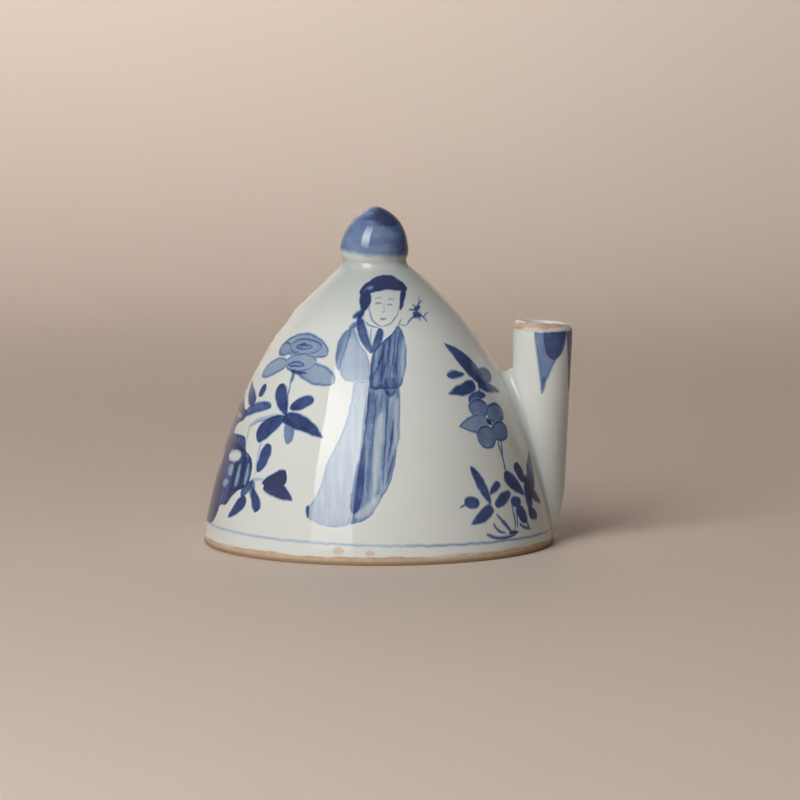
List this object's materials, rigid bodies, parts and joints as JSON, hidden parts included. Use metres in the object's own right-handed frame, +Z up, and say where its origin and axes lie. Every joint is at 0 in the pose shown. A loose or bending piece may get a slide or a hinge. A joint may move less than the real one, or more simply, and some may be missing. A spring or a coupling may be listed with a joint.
{
  "type": "calligraphy water dropper",
  "caption": "Conical porcelain water dropper with a bud knob, a short upright spout and a filling hole in its base.",
  "frame": {"origin": "centre of the filling hole at the flat underside, level with the foot", "axes": "+Z up through the knob, +X towards the spout"},
  "size_m": [0.0932, 0.0888, 0.0849],
  "materials": {
    "painted_glaze": "pale grey-green clear glaze over blue painting",
    "blue_glaze": "clear glaze over a blue wash",
    "glazed_slip": "clear glaze over slip",
    "bare_clay": "unglazed fired clay",
    "inner_glaze": "thin clear glaze inside the chamber"
  },
  "bodies": {
    "root": {"body_wall": "painted_glaze", "base_plate": "bare_clay", "filling_tube": "inner_glaze", "knob": "blue_glaze", "spout_tube": "painted_glaze", "knob_luting": "glazed_slip", "spout_luting": "glazed_slip", "base_luting": "inner_glaze", "tube_luting": "inner_glaze"}
  },
  "joints": []
}
